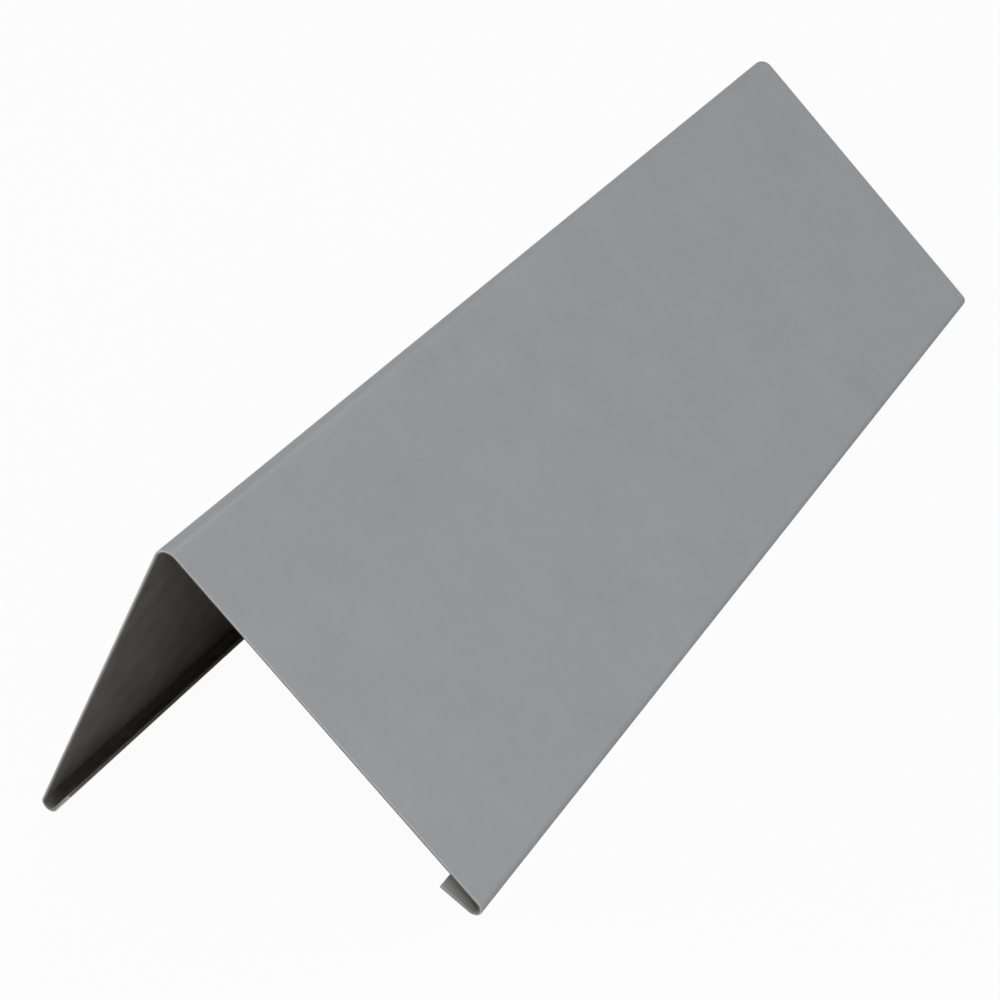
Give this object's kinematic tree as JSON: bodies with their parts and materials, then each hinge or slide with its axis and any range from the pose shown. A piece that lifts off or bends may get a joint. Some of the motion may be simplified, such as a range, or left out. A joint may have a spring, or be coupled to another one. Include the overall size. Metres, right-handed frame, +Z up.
{
  "type": "ridge flashing",
  "caption": "Folded sheet-metal ridge flashing with two sloping wings, a rounded ridge bend and open hems returned under both lower edges.",
  "frame": {"origin": "on the floor that the two hem folds stand on, below the middle of the ridge", "axes": "+Y along the ridge, +X towards the right wing, +Z up through the ridge"},
  "size_m": [0.15, 0.38, 0.0985],
  "materials": {
    "coated_sheet": "satin grey coil coating outside, thin dark warm-grey backing coat inside, bare metal on the sheared edges"
  },
  "bodies": {
    "root": {"ridge_flashing": "coated_sheet"}
  },
  "joints": []
}
